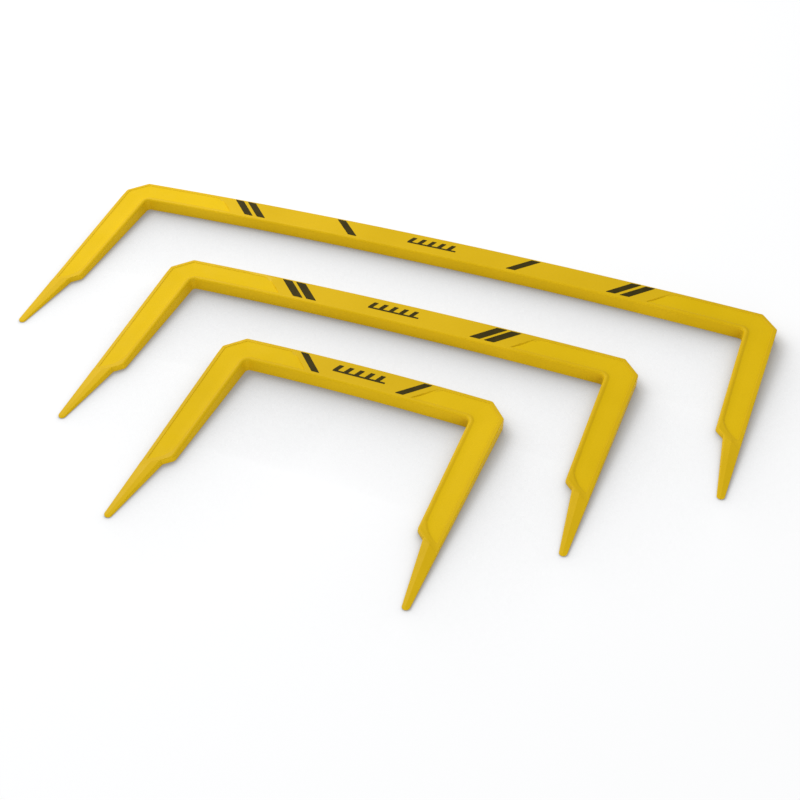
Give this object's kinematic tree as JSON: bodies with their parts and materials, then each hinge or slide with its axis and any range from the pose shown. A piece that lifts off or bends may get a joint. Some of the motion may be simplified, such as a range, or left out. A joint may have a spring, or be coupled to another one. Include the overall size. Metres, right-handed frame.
{
  "type": "agility hurdle set",
  "caption": "Nesting U-shaped ground-spike training hurdles in large, medium and small: yellow moulded frames with striped crossbars, chamfered corners and tapered spikes.",
  "frame": {"origin": "under the middle of the whole set, on the plane the hurdles lie on", "axes": "+X along the crossbars, +Y from the spikes towards the crossbars, +Z out of the hurdles' front faces (up, as they lie)"},
  "size_m": [0.7626, 0.4902, 0.0147],
  "materials": {
    "yellow_plastic": "satin moulded plastic, fine grain",
    "dark_print": "printed dark olive-black ink"
  },
  "bodies": {
    "large_hurdle": {"large_frame": "yellow_plastic", "large_stripe_left_1": "dark_print", "large_stripe_left_2": "dark_print", "large_stripe_left_3": "dark_print", "large_stripe_right_1": "dark_print", "large_stripe_right_2": "dark_print", "large_stripe_right_3": "dark_print", "large_mark": "dark_print"},
    "medium_hurdle": {"medium_frame": "yellow_plastic", "medium_stripe_left_1": "dark_print", "medium_stripe_left_2": "dark_print", "medium_stripe_right_1": "dark_print", "medium_stripe_right_2": "dark_print", "medium_mark": "dark_print"},
    "small_hurdle": {"small_frame": "yellow_plastic", "small_stripe_left_1": "dark_print", "small_stripe_right_1": "dark_print", "small_mark": "dark_print"}
  },
  "joints": [
    {"name": "medium_lift", "type": "slide", "parent": "large_hurdle", "child": "medium_hurdle", "axis": [0, 0, 1], "range_m": [0, 0.06]},
    {"name": "small_lift", "type": "slide", "parent": "large_hurdle", "child": "small_hurdle", "axis": [0, 0, 1], "range_m": [0, 0.06]}
  ]
}
